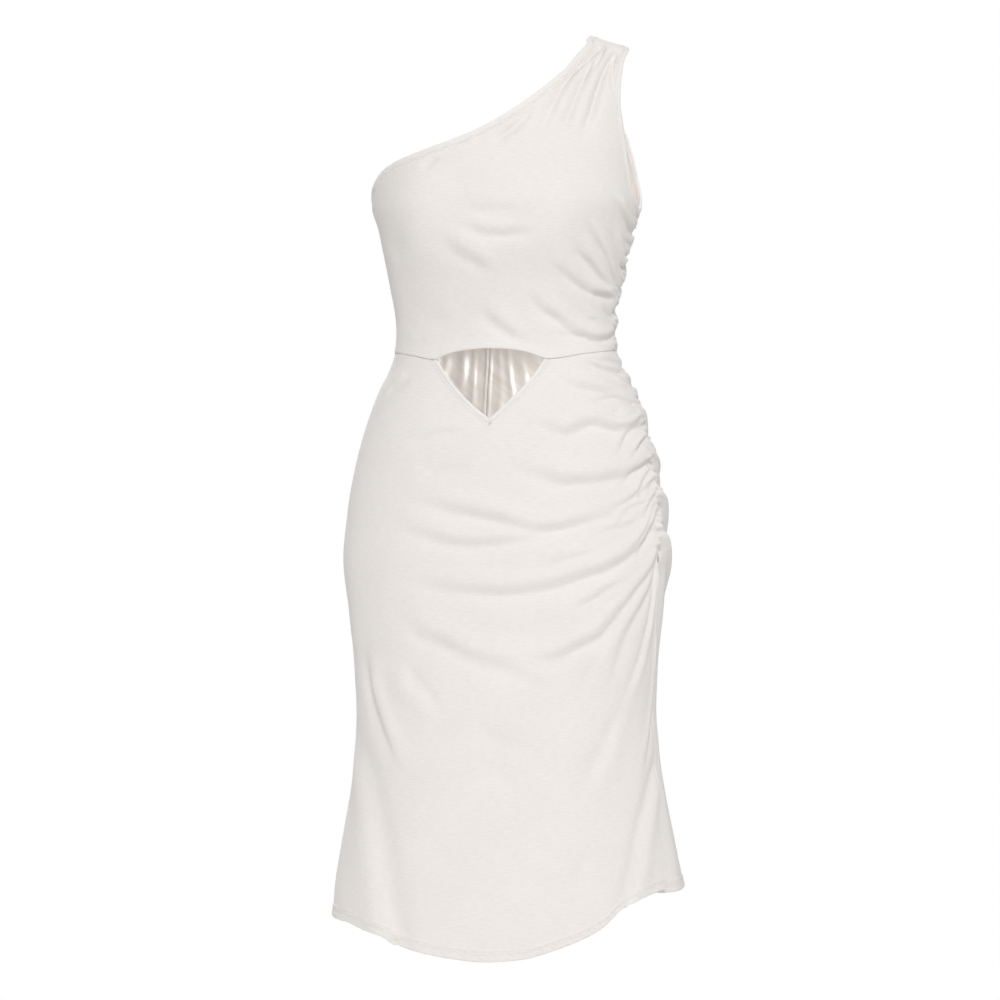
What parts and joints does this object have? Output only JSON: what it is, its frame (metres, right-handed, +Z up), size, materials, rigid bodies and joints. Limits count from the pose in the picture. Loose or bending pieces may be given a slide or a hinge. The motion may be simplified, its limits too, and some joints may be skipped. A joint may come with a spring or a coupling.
{
  "type": "one-shoulder dress",
  "caption": "White jersey one-shoulder midi dress, filled out as if worn, with a ruched side, a slit below it and a triangular waist cut-out.",
  "frame": {"origin": "inner face of the strap on the ridge of the wearer's left shoulder, midway along the shoulder seam", "axes": "+Z up, -Y the way the wearer faces, +X the wearer's left; the body's middle plane is at X = -0.1215"},
  "size_m": [0.4105, 0.2697, 1.057],
  "materials": {
    "jersey": "matte off-white stretch jersey",
    "binding": "matte off-white jersey, folded and stitched",
    "satin": "glossy pale satin lining"
  },
  "bodies": {
    "root": {"bodice_front": "jersey", "bodice_back": "jersey", "skirt_front": "jersey", "skirt_back": "jersey", "neck_binding_front": "binding", "neck_binding_back": "binding", "armhole_binding_front": "binding", "armhole_binding_back": "binding", "cutout_binding_left": "binding", "cutout_binding_right": "binding", "lining_bodice_left": "satin", "lining_bodice_right": "satin", "lining_skirt_left": "satin", "lining_skirt_right": "satin"}
  },
  "joints": []
}
